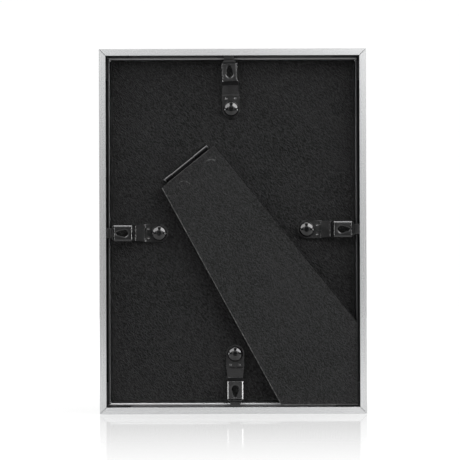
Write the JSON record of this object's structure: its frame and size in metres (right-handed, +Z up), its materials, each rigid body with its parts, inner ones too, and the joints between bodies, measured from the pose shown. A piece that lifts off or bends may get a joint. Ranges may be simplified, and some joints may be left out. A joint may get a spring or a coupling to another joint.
{
  "type": "picture frame",
  "caption": "Tabletop or wall picture frame: mitred metal rails, glass and print held by a backing board with swivel clips, and a hinged easel strut on the back",
  "frame": {"origin": "middle of the bottom edge, on the surface that it stands on, half way through its depth", "axes": "+X to the right as seen from the front, +Y towards the back where the strut is, +Z up"},
  "size_m": [0.1382, 0.015, 0.189],
  "materials": {
    "anodised_aluminium": "satin silver anodised, finely brushed along the rail",
    "key_steel": "plain stamped steel",
    "pane_glass": "clear float glass",
    "print_paper": null,
    "grey_card": "matt grey card",
    "board_fibre": "pressed fibre board",
    "black_paper": "black embossed covering paper",
    "black_steel": "glossy black lacquer on stamped steel",
    "bare_steel": "zinc plated steel"
  },
  "bodies": {
    "frame": {"rail_top": "anodised_aluminium", "rail_right": "anodised_aluminium", "rail_bottom": "anodised_aluminium", "rail_left": "anodised_aluminium", "corner_key_top_right": "key_steel", "corner_key_bottom_right": "key_steel", "corner_key_bottom_left": "key_steel", "corner_key_top_left": "key_steel", "glass_pane": "pane_glass", "print_insert": "print_paper", "filler_card": "grey_card", "backing_board": "board_fibre", "board_cover_paper": "black_paper", "clip_rivet_top": "black_steel", "clip_rivet_right": "black_steel", "clip_rivet_bottom": "black_steel", "clip_rivet_left": "black_steel", "hinge_board_leaf": "black_steel", "hinge_pin": "bare_steel", "board_leaf_rivet_a": "bare_steel", "board_leaf_rivet_b": "bare_steel"},
    "strut": {"strut_core": "board_fibre", "strut_cover_paper": "black_paper", "hinge_strut_leaf": "black_steel", "strut_leaf_rivet_a": "bare_steel", "strut_leaf_rivet_b": "bare_steel"},
    "clip_top": {"clip_top": "black_steel"},
    "clip_right": {"clip_right": "black_steel"},
    "clip_bottom": {"clip_bottom": "black_steel"},
    "clip_left": {"clip_left": "black_steel"}
  },
  "joints": [
    {"name": "strut_hinge", "type": "hinge", "parent": "frame", "child": "strut", "pos_m": [0.02425, 0.0021, 0.12981], "axis": [0.7809, 0, -0.6247], "range_deg": [0, 35]},
    {"name": "clip_top_swivel", "type": "hinge", "parent": "frame", "child": "clip_top", "pos_m": [0.0007, 0.0007, 0.1583], "axis": [0, 1, 0], "range_deg": [-90, 90]},
    {"name": "clip_right_swivel", "type": "hinge", "parent": "frame", "child": "clip_right", "pos_m": [0.0384, 0.0007, 0.0937], "axis": [0, 1, 0], "range_deg": [0, 90]},
    {"name": "clip_bottom_swivel", "type": "hinge", "parent": "frame", "child": "clip_bottom", "pos_m": [-0.001, 0.0007, 0.0307], "axis": [0, 1, 0], "range_deg": [-90, 0]},
    {"name": "clip_left_swivel", "type": "hinge", "parent": "frame", "child": "clip_left", "pos_m": [-0.0384, 0.0007, 0.0955], "axis": [0, 1, 0], "range_deg": [0, 90]}
  ]
}
